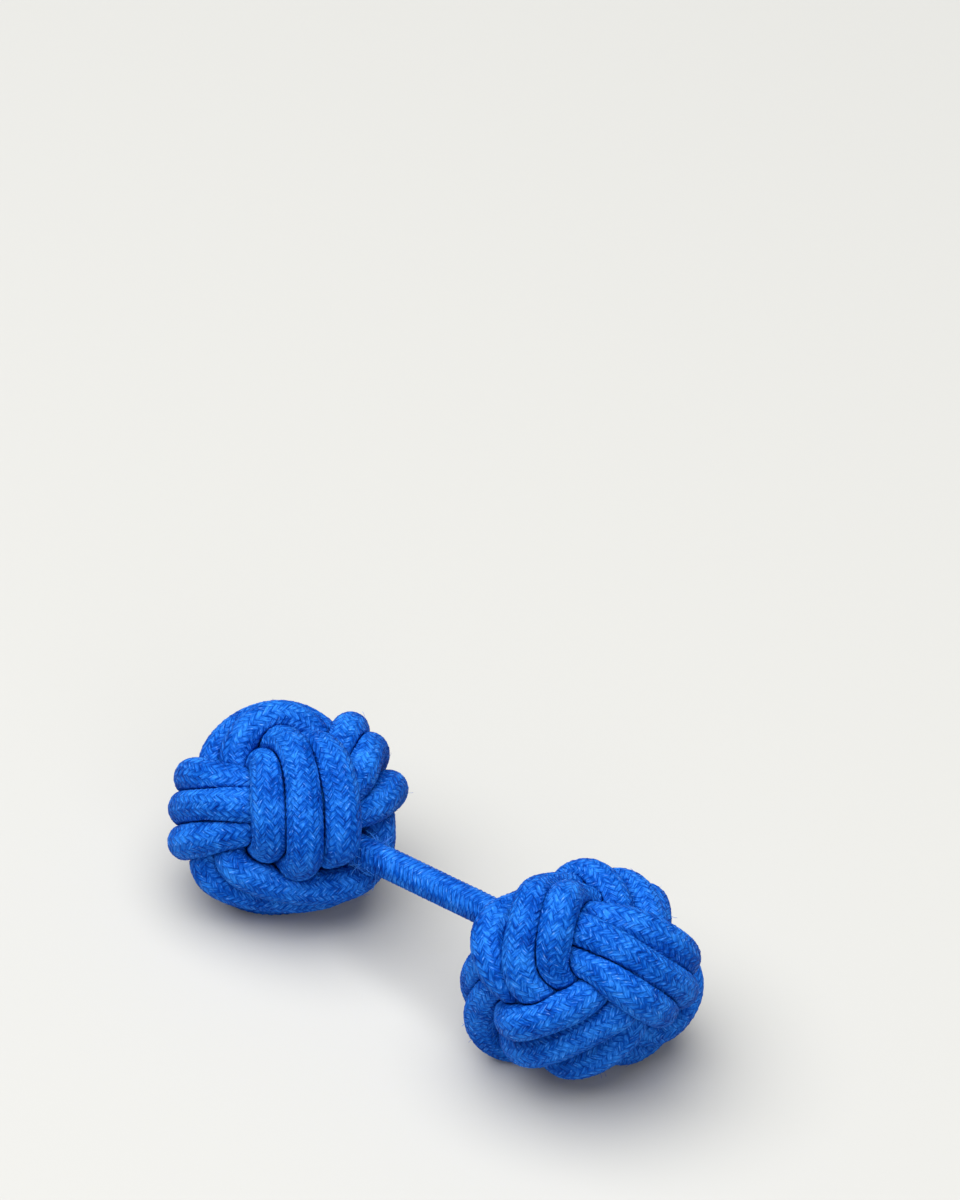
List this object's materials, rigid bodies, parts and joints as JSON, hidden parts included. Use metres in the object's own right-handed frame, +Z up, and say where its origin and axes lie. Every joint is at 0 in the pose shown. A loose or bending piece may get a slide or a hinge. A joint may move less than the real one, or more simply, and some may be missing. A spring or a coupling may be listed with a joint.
{
  "type": "silk knot cuff button",
  "caption": "Soft cuff button: two braided cord ball knots joined by a short cord link, pushed through a shirt cuff's holes to hold it closed.",
  "frame": {"origin": "on the table, under the middle of the outline of the whole piece", "axes": "+X from the left knot to the right knot, +Z up from the table, +Y away from the side that faces the viewer"},
  "size_m": [0.0354, 0.0146, 0.0138],
  "materials": {
    "knot_cord": "braided, slightly glossy viscose over an elastic core",
    "link_cord": "finer braided cover, slightly glossy"
  },
  "bodies": {
    "root": {"left_knot": "knot_cord", "right_knot": "knot_cord", "link_cord": "link_cord"}
  },
  "joints": []
}
